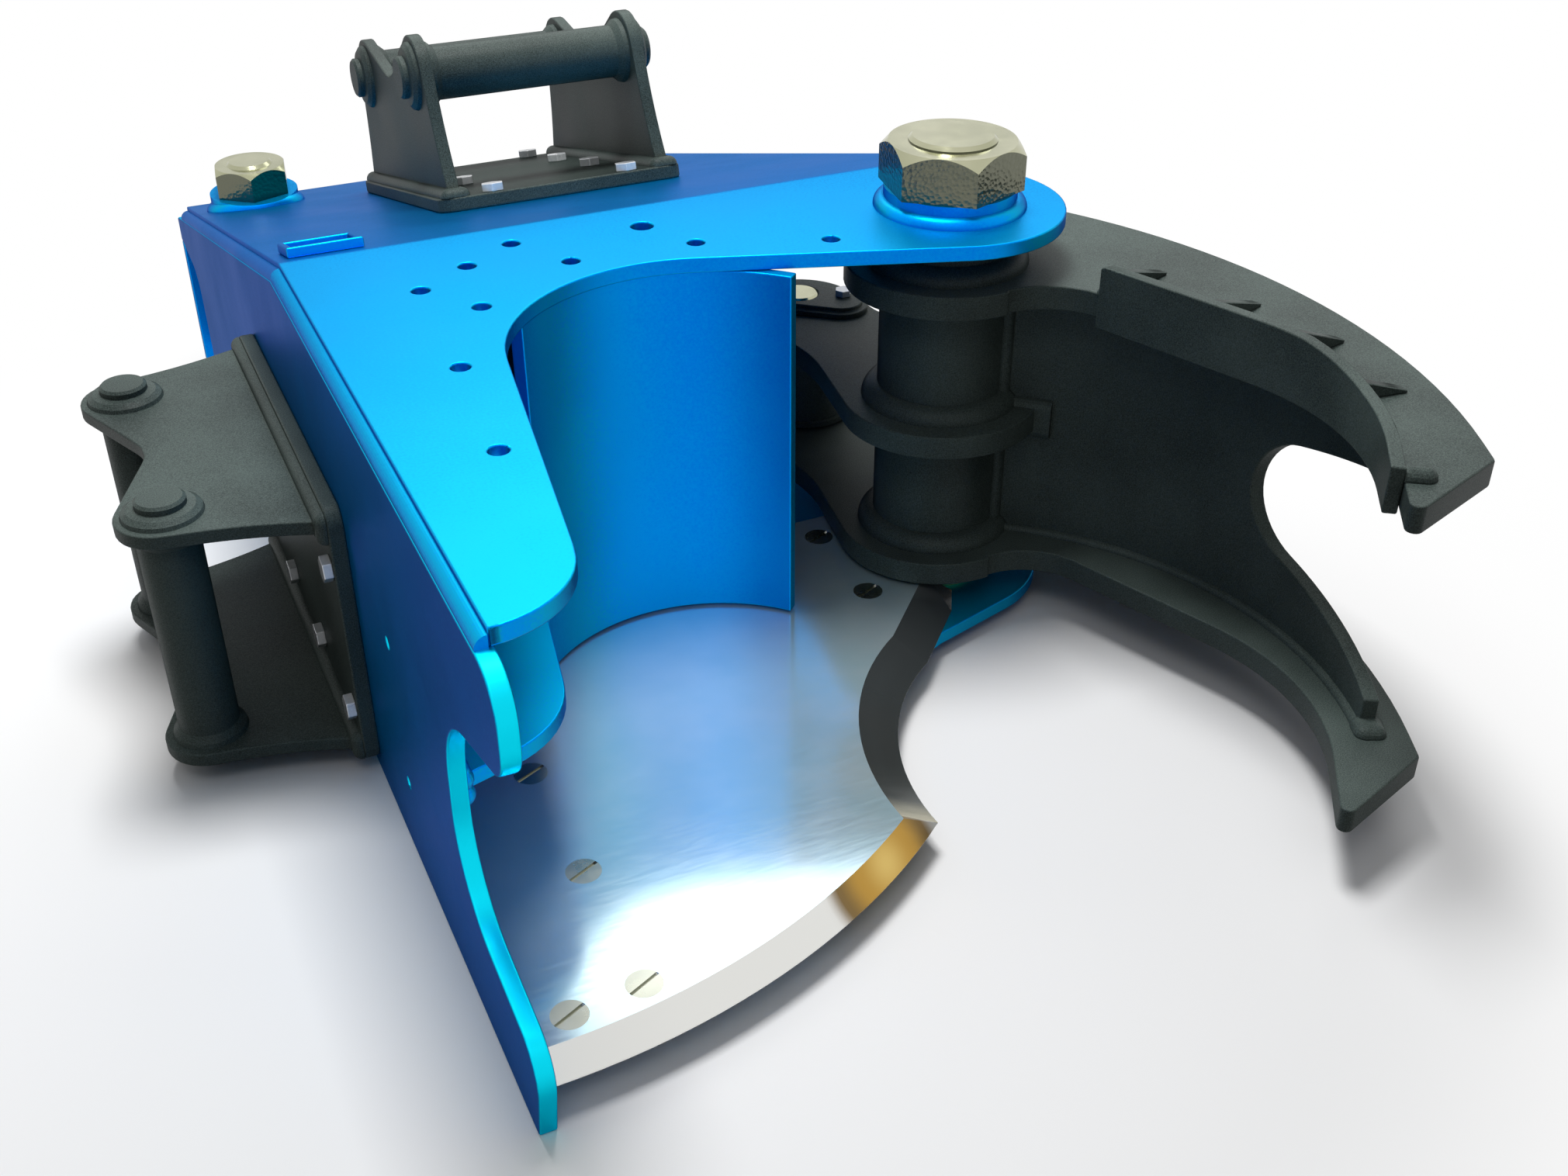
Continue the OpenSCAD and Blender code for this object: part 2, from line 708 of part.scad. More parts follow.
module jaw_web() color(charcoal) difference() {
  web_wall(web_r, web_t, arm_low_top, arm_high, web_end, 57);
  hub_hole();
  hub_beads();
  web_cut();
}

// Angle on the web's inner face at the given distance from the main pivot
function web_angle(d) =
  atan2(-web_c[1], -web_c[0])
  - acos((pow(web_r, 2) + pow(norm(web_c), 2) - pow(d, 2)) / (2 * web_r * norm(web_c)));

web_bead_w = 5;
joint_bead_w = 7;

// Fillet of weld along the web's inner face, above or below the level z
module web_bead(z, up, a0, a1)
  translate([web_c[0], web_c[1], 0]) rotate([0, 0, a0])
    rotate_extrude(angle = a1 - a0, $fn = 144)
      polygon(concat([[web_r, z]],
        arc([web_r, z], web_bead_w, up > 0 ? 90 : 180, up > 0 ? 180 : 270, 6)));

module web_beads() color(charcoal) difference() {
  union() {
    web_bead(arm_low_top, 1, web_end, web_angle(hub_r));
    web_bead(arm_high, -1, web_end, web_angle(hub_r));
    joint_bead();
    hub_corner_bead();
    web_end_pad();
  }
  hub_hole();
  hub_beads();
  plate(mid_low, arm_t, middle_outline);
  web_wall(web_r, web_t, 0, top_z, web_end, 60);
  plate(strip_low, top_z - strip_low, strip_plan);
  translate([0, 0, arm_low_top - 3 * hub_bead_w])
    cylinder(r = 2 * side_x, h = 3 * hub_bead_w);
}

// Upright weld in the corner between the web and the hub tube
module hub_corner_bead() {
  a = web_angle(hub_r);
  translate([web_c[0] + web_r * cos(a), web_c[1] + web_r * sin(a), arm_low_top])
    cylinder(r = joint_bead_w, h = arm_high - arm_low_top, $fn = 32);
}

// Weld wrapped round the end of the middle plate on the web's inner face
module joint_bead() {
  a1 = web_angle(hub_r);
  a0 = web_angle(hub_ring_r) - 2.6;
  z0 = mid_low - joint_bead_w;
  z1 = mid_top + joint_bead_w;
  translate([web_c[0], web_c[1], 0]) rotate([0, 0, a0])
    rotate_extrude(angle = a1 - a0, $fn = 144) translate([web_r, 0]) polygon([
      [0, z0], [0, z1], [-3, z1 - 0.5], [-5.5, z1 - 2.5], [-joint_bead_w, z1 - 6],
      [-joint_bead_w, z0 + 6], [-5.5, z0 + 2.5], [-3, z0 + 0.5]
    ]);
}

// Pad of weld round the lower free end of the web
module web_end_pad() {
  hull() for (d = [2, web_t - 2], s = [0, 1.6])
    translate([
      web_c[0] + (web_r + d) * cos(web_end - s), web_c[1] + (web_r + d) * sin(web_end - s),
      arm_low_top
    ]) sphere(8, $fn = 20);
}

// Grip strip: straight near the hub, then along the arc of the arm's inner edge
strip_low = 283;
strip_straight = 135;
strip_tail = 29;
strip_seam = 0.25;
strip_dir = tangent_dir(arm_fillet, arm_inner);
tail_dir = tangent_dir(arm_inner, tip_in);
strip_c = [arm_inner[0], arm_inner[1]];

function along(dir) = [cos(dir), sin(dir)];

// Edge of the strip at the distance d from the arm's inner edge
function strip_edge(d) =
  let (r = -arm_inner[2] - d)
  concat(
    [strip_c + r * along(strip_dir + 90) - strip_straight * along(strip_dir)],
    arc(strip_c, r, strip_dir + 90, tail_dir + 90, 16),
    [strip_c + r * along(tail_dir + 90) + strip_tail * along(tail_dir)]
  );

function reversed(v) = [for (i = [len(v) - 1:-1:0]) v[i]];

strip_plan = concat(strip_edge(strip_seam), reversed(strip_edge(strip_t)));

module grip_strip() color(charcoal) intersection() {
  plate(strip_low, top_z - strip_low, strip_plan);
  along_x(0, 300) polygon([
    [-90, strip_low], [-90, arm_high_top + 14], [-116, arm_high_top + 16],
    [-119, arm_high_top + 23], [-126, arm_high_top + 27], [-290, arm_high_top + 26],
    [-322, arm_high_top + 22.5], [-360, arm_high_top + 17], [-400, arm_high_top + 13],
    [-450, arm_high_top + 9], [-450, strip_low]
  ]);
}

// Gussets: angle of the foot on the arc or distance along the straight part, length, height
gusset_t = 9;
gussets = [[0, 134 - gusset_t / 2, 68, 22], [0, 44, 68, 24], [11.7, 0, 57, 24], [-8.3, 0, 40, 14]];

module gusset(length, height) rotate([90, 0, 0]) translate([0, 0, -gusset_t / 2])
  linear_extrude(gusset_t) polygon([[-2, 0], [length, 0], [length, 2], [0, height], [-2, height]]);

module strip_gussets() color(charcoal) difference() {
  for (g = gussets) {
    a = g[1] > 0 ? strip_dir + 90 : g[0];
    foot = strip_c - arm_inner[2] * [cos(a), sin(a)] - g[1] * [cos(strip_dir), sin(strip_dir)];
    translate([foot[0], foot[1], arm_high_top]) rotate([0, 0, a]) gusset(g[2], g[3]);
  }
  plate(strip_low, top_z - strip_low, strip_plan);
}

module strip_welds() color(charcoal) difference() {
  translate([0, 0, arm_high_top]) {
    hull() for (d = [3, 13]) translate(strip_c + (strip_tail - 7) * along(tail_dir)
      + (d - arm_inner[2]) * along(tail_dir + 90)) sphere(8, $fn = 20);
    hull() for (s = [strip_straight - 6, strip_straight + 2])
      translate([
        strip_c[0] + 191 * cos(strip_dir + 90) - s * cos(strip_dir),
        strip_c[1] + 191 * sin(strip_dir + 90) - s * sin(strip_dir), 0
      ]) sphere(6, $fn = 20);
  }
  plate(strip_low, top_z - strip_low, strip_plan);
  plate(arm_high - arm_t, 2 * arm_t, [[0, -600], [300, -600], [300, 0], [0, 0]]);
  strip_gussets();
}

// Rod pin with its keeper
keeper_at = [2, 190];
keeper_bolt_at = [9, 199];
keeper_layers = [[0, 5, 0], [5, 4, 5]];
keeper_top = mid_top + 9;
keeper_bolt_r = 4;

module keeper_bolt_hole()
  translate([keeper_bolt_at[0], keeper_bolt_at[1], mid_low + 4])
    cylinder(r = keeper_bolt_r + seat, h = top_z, $fn = 24);

module rod_pin() color(nickel) translate([rod_pin_at[0], rod_pin_at[1], 0])
  rotate_extrude() polygon([
    [0, arm_low - 4], [rod_pin_r - 2, arm_low - 4], [rod_pin_r, arm_low - 2],
    [rod_pin_r, keeper_top - 1], [rod_pin_r - 2, keeper_top + 1], [0, keeper_top + 1]
  ]);

module keeper_plate() color(charcoal) difference() {
  for (k = keeper_layers)
    plate(mid_top + k[0], k[1], belt([
      [rod_pin_at[0], rod_pin_at[1], 31 - k[2]], [keeper_at[0], keeper_at[1], 25 - k[2]]
    ]));
  rod_pin_hole();
  keeper_bolt_hole();
}

module keeper_bolt() color(zinc) translate([keeper_bolt_at[0], keeper_bolt_at[1], 0]) {
  translate([0, 0, mid_low + 4])
    cylinder(r = keeper_bolt_r, h = keeper_top - mid_low - 4, $fn = 24);
  translate([0, 0, keeper_top]) cylinder(r = 8, h = 6, $fn = 6);
}

// Hydraulic cylinder, in a frame with its origin on the rear pin and +X along the rod
barrel_cone = 14;
barrel_start = boss_r + 1.5 + barrel_cone;
cap_end = 62;
barrel_end = 430;
gland_start = barrel_end - 35;
piston_start = 100;
piston_end = 145;
bore_r = bore_d / 2;
rod_r = rod_d / 2;
shank_start = link_len - 70;

module on_link()
  translate([rear_pin_at[0], rear_pin_at[1], link_z]) rotate([0, 0, link_angle]) children();

module turned() rotate([0, 90, 0]) rotate_extrude() children();

// Ports, which face the open side of the frame
port_r = 14;
port_h = 12;
port_bore_r = 7;
port_at = [cap_end + 14, gland_start - 14];

module cylinder_barrel() color(charcoal) on_link() difference() {
  union() {
    turned() polygon([
      [0, 0], [barrel_eye_half - 2, 0], [barrel_eye_half - 2, barrel_start - barrel_cone],
      [barrel_d / 2 - 12, barrel_start - barrel_cone],
      [barrel_d / 2, barrel_start], [barrel_d / 2, barrel_end], [0, barrel_end]
    ]);
    translate([0, 0, -barrel_eye_half]) cylinder(r = boss_r + 2, h = 2 * barrel_eye_half);
    for (x = port_at) translate([x, 0, 0]) rotate([-90, 0, 0])
      cylinder(r = port_r, h = barrel_d / 2 + port_h, $fn = 32);
  }
  turned() translate([0, cap_end]) square([bore_r, barrel_end]);
  translate([0, 0, -barrel_eye_half - over])
    cylinder(r = rear_pin_r + bush_wall + seat, h = 2 * barrel_eye_half + 2 * over);
  for (x = port_at) translate([x, 0, 0]) rotate([-90, 0, 0])
    cylinder(r = port_bore_r, h = barrel_d, $fn = 32);
}

module barrel_bush() color(bronze) on_link() translate([0, 0, -barrel_eye_half]) difference() {
  cylinder(r = rear_pin_r + bush_wall, h = 2 * barrel_eye_half);
  translate([0, 0, -over]) cylinder(r = rear_pin_r + run_fit, h = 2 * barrel_eye_half + 2 * over);
}

module cylinder_gland() color(steel) on_link() turned() polygon([
  [rod_r + run_fit, gland_start], [bore_r - seat, gland_start], [bore_r - seat, barrel_end],
  [barrel_d / 2, barrel_end], [barrel_d / 2, barrel_end + 14], [barrel_d / 2 - 5, barrel_end + 18],
  [rod_r + 8, barrel_end + 18], [rod_r + 6, barrel_end + 22], [rod_r + run_fit, barrel_end + 22]
]);

seal_depth = 4;
seal_at = [piston_start + 9, piston_end - 15];

module cylinder_rod() color(steel) on_link() turned() polygon([
  [0, piston_start], [bore_r - run_fit, piston_start],
  for (s = seal_at) each [
    [bore_r - run_fit, s], [bore_r - seal_depth, s], [bore_r - seal_depth, s + 6],
    [bore_r - run_fit, s + 6]
  ],
  [bore_r - run_fit, piston_end], [rod_r, piston_end], [rod_r, shank_start], [0, shank_start]
]);

module piston_seals() color(rubber_black) on_link() for (s = seal_at)
  turned() translate([bore_r - seal_depth, s]) square([seal_depth - run_fit, 6]);

module rod_eye() color(charcoal) on_link() difference() {
  union() {
    translate([link_len, eye_shift, -eye_half]) {
      cylinder(r = eye_r, h = 2 * eye_half);
      cylinder(r = eye_r + 4, h = 5);
    }
    turned() polygon([
      [0, shank_start], [rod_r + 4, shank_start], [rod_r + 8, shank_start + 4],
      [rod_r + 8, link_len - 30], [0, link_len - 30]
    ]);
  }
  translate([link_len, eye_shift, -eye_half - over])
    cylinder(r = eye_bore_r, h = 2 * eye_half + 2 * over);
}

side_plate();
top_plate();
bottom_plate();
rear_plate();
shelf_plate();
throat_panel();
plate_frame();
edge_weld();
mouth_welds();
pivot_collar();
rear_collar();
rear_bosses();
thrust_washers();
pivot_pin();
pivot_nut();
rear_pin();
rear_nut();
blade();
blade_screws();
top_bracket_base();
top_bracket_ears();
top_bracket_beads();
top_bracket_bolts();
top_bracket_front_pin();
top_bracket_rear_pin();
side_bracket_base();
side_bracket_ears();
side_bracket_beads();
side_bracket_bolts();
side_bracket_front_pin();
side_bracket_rear_pin();
jaw_hub();
hub_bushes();
hub_beads();
jaw_top_plate();
jaw_middle_plate();
jaw_bottom_plate();
jaw_web();
web_beads();
grip_strip();
strip_gussets();
strip_welds();
rod_pin();
keeper_plate();
keeper_bolt();
cylinder_barrel();
barrel_bush();
cylinder_gland();
cylinder_rod();
piston_seals();
rod_eye();
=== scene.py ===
"""Excavator tree shear: materials, light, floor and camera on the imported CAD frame."""
import json
import math

import bmesh
import bpy
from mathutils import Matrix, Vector


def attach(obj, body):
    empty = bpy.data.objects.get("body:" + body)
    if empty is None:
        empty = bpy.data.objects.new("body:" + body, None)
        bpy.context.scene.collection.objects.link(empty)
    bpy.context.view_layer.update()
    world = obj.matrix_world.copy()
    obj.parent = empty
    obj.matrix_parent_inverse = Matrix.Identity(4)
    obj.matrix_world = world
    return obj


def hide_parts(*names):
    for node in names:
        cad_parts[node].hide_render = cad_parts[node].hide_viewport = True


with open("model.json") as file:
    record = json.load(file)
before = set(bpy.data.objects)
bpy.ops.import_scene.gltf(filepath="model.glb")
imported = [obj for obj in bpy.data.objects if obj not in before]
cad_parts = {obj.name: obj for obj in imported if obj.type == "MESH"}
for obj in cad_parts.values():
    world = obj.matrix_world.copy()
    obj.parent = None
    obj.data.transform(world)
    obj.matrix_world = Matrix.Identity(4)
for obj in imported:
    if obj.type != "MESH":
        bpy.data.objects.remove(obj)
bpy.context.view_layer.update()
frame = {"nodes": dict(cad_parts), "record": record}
nodes = frame["nodes"]
behaviour = frame["record"]["behaviour"]
BODY_OF = {n: body for body, members in behaviour["bodies"].items() for n in members}
SLOT_OF = {s["node"]: s["material_slot"] for s in frame["record"]["subparts"]}


# Node helpers
class Graph:
    """A material's or the world's node tree, with short calls to add nodes and links."""

    def __init__(self, tree):
        self.tree = tree
        tree.nodes.clear()

    def add(self, kind, inputs=None, **settings):
        node = self.tree.nodes.new(kind)
        for key, value in settings.items():
            setattr(node, key, value)
        for key, value in (inputs or {}).items():
            if isinstance(value, bpy.types.NodeSocket):
                self.tree.links.new(value, node.inputs[key])
            else:
                node.inputs[key].default_value = value
        return node

    def ramp(self, fac, stops, smooth=False):
        node = self.add("ShaderNodeValToRGB", {"Fac": fac})
        if smooth:
            node.color_ramp.interpolation = "EASE"
        points = node.color_ramp.elements
        while len(points) < len(stops):
            points.new(0.5)
        for point, (place, colour) in zip(points, stops):
            point.position = place
            point.color = rgba(colour)
        return node.outputs["Color"]

    def maths(self, operation, a, b=0.0, clamp=False):
        node = self.add("ShaderNodeMath", operation=operation, use_clamp=clamp)
        for k, value in enumerate((a, b)):
            if isinstance(value, bpy.types.NodeSocket):
                self.tree.links.new(value, node.inputs[k])
            else:
                node.inputs[k].default_value = value
        return node.outputs[0]


def rgba(colour):
    if isinstance(colour, (int, float)):
        colour = (colour, colour, colour)
    return (colour[0], colour[1], colour[2], 1.0)


def srgb(r, g, b):
    """Linear colour of an sRGB colour given in 0 to 255."""
    return tuple(
        (c / 255 / 12.92) if c / 255 <= 0.04045 else ((c / 255 + 0.055) / 1.055) ** 2.4
        for c in (r, g, b)
    )


def new_material(name):
    mat = bpy.data.materials.new(name)
    mat.use_nodes = True
    return mat, Graph(mat.node_tree)


BUMP_DEPTH = 0.001


def noise(g, place, scale, detail):
    inputs = {"Vector": place, "Scale": scale, "Detail": detail}
    return g.add("ShaderNodeTexNoise", inputs).outputs["Fac"]


def part_of(g, vector, axis):
    return g.add("ShaderNodeSeparateXYZ", {"Vector": vector}).outputs[axis]


def blend(g, factor, a, b, **settings):
    inputs = {"Factor": factor, "A": a, "B": b}
    return g.add("ShaderNodeMix", inputs, data_type="RGBA", **settings).outputs["Result"]


def finish_material(mat, g, height, strength, inputs):
    """Bumps the surface by height and gives it a Principled shader with these inputs."""
    bumped = g.add("ShaderNodeBump", {"Height": height, "Strength": strength,
                                      "Distance": BUMP_DEPTH})
    inputs["Normal"] = bumped.outputs["Normal"]
    shader = g.add("ShaderNodeBsdfPrincipled", inputs)
    g.add("ShaderNodeOutputMaterial", {"Surface": shader.outputs["BSDF"]})
    return mat


# Materials
CLOUD_SCALE = 14.0


def paint(name, base, light, metallic, roughness, grain, bump=0.02, level=0.5):
    """Sprayed paint: fine flake grain, soft mottling, a slight orange peel and painted shade that
    darkens faces seen edge-on.
    """
    mat, g = new_material(name)
    place = g.add("ShaderNodeTexCoord").outputs["Object"]
    flake = noise(g, place, grain, 3.0)
    cloud = noise(g, place, 9.0, 4.0)
    mixed = g.maths("ADD", g.maths("MULTIPLY", flake, 0.6), g.maths("MULTIPLY", cloud, 0.4))
    sprayed = g.ramp(mixed, [(0.36, base), (0.64, light)])
    facing = g.add("ShaderNodeLayerWeight", {"Blend": 0.5}).outputs["Facing"]
    # Painted shade: the colour is darkened on faces seen edge-on, in place of shade on them.
    shade = g.ramp(facing, [(0.68, 1.0), (1.0, 0.35)])
    shine = g.ramp(facing, [(0.62, level), (0.92, level * 0.1)])
    colour = blend(g, 1.0, sprayed, shade, blend_type="MULTIPLY")
    rough = g.ramp(cloud, [(0.3, roughness - 0.04), (0.7, roughness + 0.05)])
    peel = noise(g, place, 900.0, 2.0)
    return finish_material(mat, g, peel, bump, {
        "Base Color": colour, "Metallic": metallic, "Roughness": rough,
        "Specular IOR Level": shine,
    })


def flip_paint(name, stops, roughness, metallic, grain, painted_edge_highlight=None):
    """Metallic paint whose colour deepens from the face-on view to the grazing one: partly a
    flip-flop paint, partly painted shade on faces seen edge-on.

    Where an edge colour is given, the narrow faces of an upright sheet in the YZ plane take that
    lighter colour, fully metallic, as a painted highlight.
    """
    mat, g = new_material(name)
    place = g.add("ShaderNodeTexCoord").outputs["Object"]
    facing = g.add("ShaderNodeLayerWeight", {"Blend": 0.5}).outputs["Facing"]
    flake = noise(g, place, grain, 3.0)
    cloud = noise(g, place, 11.0, 4.0)
    speck = g.maths("MULTIPLY", g.maths("SUBTRACT", flake, 0.5), 0.30)
    patch = g.maths("MULTIPLY", g.maths("SUBTRACT", cloud, 0.5), 0.14)
    depth = g.maths("ADD", g.maths("ADD", facing, speck), patch, clamp=True)
    # Painted shade: the deeper colour at grazing views is partly the paint's flip-flop and partly
    # stands in for shade on faces seen edge-on.
    colour = g.ramp(depth, stops, smooth=True)
    # Painted highlight: narrow sheet faces take the light edge colour and full metallic.
    if painted_edge_highlight:
        normal = g.add("ShaderNodeTexCoord").outputs["Normal"]
        breadth = g.maths("ABSOLUTE", part_of(g, normal, "X"))
        broad = g.ramp(breadth, [(0.55, 0.0), (0.9, 1.0)])
        metallic = g.ramp(breadth, [(0.55, 1.0), (0.9, metallic)])
        colour = blend(g, broad, rgba(painted_edge_highlight), colour)
    rough = g.ramp(cloud, [(0.3, roughness - 0.03), (0.7, roughness + 0.04)])
    peel = noise(g, place, 1100.0, 2.0)
    return finish_material(mat, g, peel, 0.03, {
        "Base Color": colour, "Metallic": metallic, "Roughness": rough,
        "Specular Tint": rgba(srgb(0, 120, 200)), "Specular IOR Level": 0.3,
    })


def metal(name, base, light, roughness, spread, stretch=(1, 1, 1), grain=60.0, painted_flank_shade=None):
    """Bare metal: fine machining marks, uneven polish and, where given, upright faces painted
    darker as painted shade, with dimples.
    """
    mat, g = new_material(name)
    place = g.add("ShaderNodeTexCoord").outputs["Object"]
    along = g.add("ShaderNodeMapping", {"Vector": place, "Scale": stretch})
    marks = noise(g, along.outputs["Vector"], grain, 6.0)
    colour = g.ramp(noise(g, place, CLOUD_SCALE, 3.0), [(0.35, base), (0.65, light)])
    rough = g.ramp(marks, [(0.3, roughness - spread), (0.7, roughness + spread)])
    relief, strength = marks, 0.01
    # Painted shade: upright faces take the darker flank colour, while tops keep the lighter one.
    if painted_flank_shade:
        normal = g.add("ShaderNodeTexCoord").outputs["Normal"]
        upright = g.maths("ABSOLUTE", part_of(g, normal, "Z"))
        top = g.ramp(upright, [(0.35, 0.0), (0.6, 1.0)])
        colour = blend(g, top, rgba(painted_flank_shade), colour)
        cells = g.add("ShaderNodeTexVoronoi", {"Vector": place, "Scale": 300.0})
        dimples = g.maths("MULTIPLY", g.maths("SUBTRACT", 1.0, top), cells.outputs["Distance"])
        relief, strength = g.maths("ADD", dimples, g.maths("MULTIPLY", relief, 0.1)), 0.22
    return finish_material(mat, g, relief, strength, {
        "Base Color": colour, "Metallic": 1.0, "Roughness": rough,
    })


# The blade's tip, and the colours of a painted gold glint on the outer bevel, fading to white, by
# the distance in metres from that tip
GLINT_AT = (-0.232, -0.352, 0.033)
GOLD_GLINT = [(0.0, srgb(222, 190, 108)), (0.028, srgb(190, 148, 64)), (0.05, srgb(128, 104, 62)),
         (0.064, srgb(236, 236, 232))]
TIP_Y = -0.322
# Inner bevel colour from the tip to the heel: painted shade, with painted glints at both ends.
INNER_BEVEL_SHADE = [(0.0, srgb(196, 188, 160)), (0.08, srgb(74, 72, 66)), (0.8, srgb(96, 98, 100)),
               (1.0, srgb(226, 226, 226))]


def ground_steel(name):
    """Blade: polished flat with a painted cyan reflection, a dark inner bevel of painted shade with
    painted glints at its ends, and a painted gold glint on the outer bevel by the tip.
    """
    mat, g = new_material(name)
    coords = g.add("ShaderNodeTexCoord").outputs
    place = coords["Object"]
    stretched = g.add("ShaderNodeMapping", {"Vector": place, "Scale": (1.0, 9.0, 1.0)})
    marks = noise(g, stretched.outputs["Vector"], 40.0, 6.0)
    # The pale steel of the flat carries a painted cyan reflection of the blue frame.
    flat = g.ramp(noise(g, place, CLOUD_SCALE, 3.0), [(0.35, srgb(206, 238, 245)),
                                                      (0.65, srgb(226, 246, 250))])
    bevel = g.ramp(part_of(g, coords["Normal"], "Z"), [(0.86, 1.0), (0.96, 0.0)])
    away = g.add("ShaderNodeVectorMath", {0: place, 1: GLINT_AT}, operation="DISTANCE")
    outer_glint = g.ramp(away.outputs["Value"], GOLD_GLINT, smooth=True)
    depth = part_of(g, place, "Y")
    run = g.add("ShaderNodeMapRange", {"Value": depth, "From Min": TIP_Y, "From Max": -0.02})
    inner_shade = g.ramp(run.outputs["Result"], INNER_BEVEL_SHADE)
    edge = blend(g, g.maths("GREATER_THAN", depth, TIP_Y), outer_glint, inner_shade)
    colour = blend(g, bevel, flat, edge)
    rough = g.ramp(marks, [(0.3, 0.14), (0.7, 0.20)])
    return finish_material(mat, g, marks, 0.01, {
        "Base Color": colour, "Metallic": 0.68, "Roughness": rough,
    })


# Blue by viewing angle, face-on to grazing; the darker grazing end is partly flip-flop paint and
# partly painted shade.
BLUE_STOPS = [
    (0.0, srgb(0, 126, 234)), (0.22, srgb(0, 150, 238)), (0.46, srgb(0, 170, 216)),
    (0.62, srgb(0, 158, 212)), (0.84, srgb(0, 120, 182)), (1.0, srgb(0, 106, 156)),
]
MATERIALS = {
    "frame_paint": flip_paint("frame_paint", BLUE_STOPS, 0.40, 0.8, 520.0),
    "charcoal_paint": paint("charcoal_paint", srgb(42, 50, 48), srgb(86, 98, 94), 0.0, 0.46,
                            1100.0, bump=0.06, level=0.1),
    "blade_steel": ground_steel("blade_steel"),
    "screw_steel": metal("screw_steel", srgb(172, 174, 160), srgb(196, 198, 184), 0.30, 0.06),
    # Nickel: its warm yellow tone is partly the plating's own and partly a painted warm reflection.
    "nickel_steel": metal("nickel_steel", srgb(160, 162, 132), srgb(184, 184, 156), 0.17, 0.05,
                          (1.0, 1.0, 5.0), 70.0, painted_flank_shade=srgb(104, 106, 92)),
    "zinc_bolt": paint("zinc_bolt", srgb(226, 230, 234), srgb(244, 246, 248), 0.3, 0.25, 300.0),
    "chrome_rod": metal("chrome_rod", srgb(214, 216, 218), srgb(230, 232, 234), 0.08, 0.02),
    "bronze": metal("bronze", srgb(168, 130, 72), srgb(196, 156, 92), 0.3, 0.06),
    "seal_rubber": paint("seal_rubber", srgb(14, 14, 14), srgb(24, 24, 24), 0.0, 0.6, 300.0),
}
# Painted shade: the side plate gets a copy of the blue paint darkened to 0.72, with a painted cyan
# highlight on its narrow faces.
SHADED_SIDE_STOPS = [(place, tuple(0.72 * c for c in colour)) for place, colour in BLUE_STOPS]
SHADED_SIDE_PAINT = flip_paint("shaded_side_paint", SHADED_SIDE_STOPS, 0.42, 0.8, 520.0, painted_edge_highlight=srgb(10, 216, 240))


def material_of(name):
    return SHADED_SIDE_PAINT if name == "side_plate" else MATERIALS[SLOT_OF[name]]


# Dressed copies of the CAD solids, with rounded edges that catch the light
MERGE_DIST = 2e-6
FLAT_ANGLE = math.radians(0.6)
SHARP_ANGLE = math.radians(38.0)


def dressed(name, width):
    mesh = nodes[name].data.copy()
    bm = bmesh.new()
    bm.from_mesh(mesh)
    bmesh.ops.remove_doubles(bm, verts=bm.verts, dist=MERGE_DIST)
    bmesh.ops.dissolve_limit(bm, angle_limit=FLAT_ANGLE, verts=bm.verts, edges=bm.edges)
    for face in bm.faces:
        face.smooth = True
    for edge in bm.edges:
        edge.smooth = edge.calc_face_angle(0.0) < SHARP_ANGLE
    bm.to_mesh(mesh)
    bm.free()
    mesh.materials.clear()
    mesh.materials.append(material_of(name))
    piece = bpy.data.objects.new(name + "_dressed", mesh)
    bpy.context.scene.collection.objects.link(piece)
    bevel = piece.modifiers.new("edges", "BEVEL")
    bevel.width = width
    bevel.segments = 2
    bevel.limit_method = "ANGLE"
    bevel.angle_limit = SHARP_ANGLE
    bevel.use_clamp_overlap = False
    bevel.harden_normals = True
    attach(piece, BODY_OF[name])
    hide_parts(name)


for name, node in nodes.items():
    node.data.materials.clear()
    node.data.materials.append(material_of(name))

# Widths of the rounded edges in metres
EDGES = {
    "side_plate": 0.0016, "top_plate": 0.0014, "bottom_plate": 0.0012, "throat_panel": 0.0012,
    "shelf_plate": 0.0012, "rear_plate": 0.0012, "plate_frame": 0.0016,
    "top_bracket_base": 0.0018, "side_bracket_base": 0.0018,
    "top_bracket_ears": 0.0014, "side_bracket_ears": 0.0014,
    "jaw_top_plate": 0.0014, "jaw_middle_plate": 0.0014, "jaw_bottom_plate": 0.0014,
    "jaw_web": 0.0014, "grip_strip": 0.0014, "strip_gussets": 0.001,
    "keeper_plate": 0.0012,
    "top_bracket_bolts": 0.0007, "side_bracket_bolts": 0.0007, "keeper_bolt": 0.0006,
}
for name, width in EDGES.items():
    dressed(name, width)


# Floor, world and lights
def shown_ray(g):
    """1 for the rays that show the backdrop: to the camera, in metal and through glass."""
    path = g.add("ShaderNodeLightPath").outputs
    seen = g.maths("ADD", path["Is Camera Ray"], path["Is Glossy Ray"])
    return g.maths("ADD", seen, path["Is Transmission Ray"], clamp=True)


FLOOR_HALF = 14.0
FADE_CENTRE = (-0.32, -0.1, 0.0)


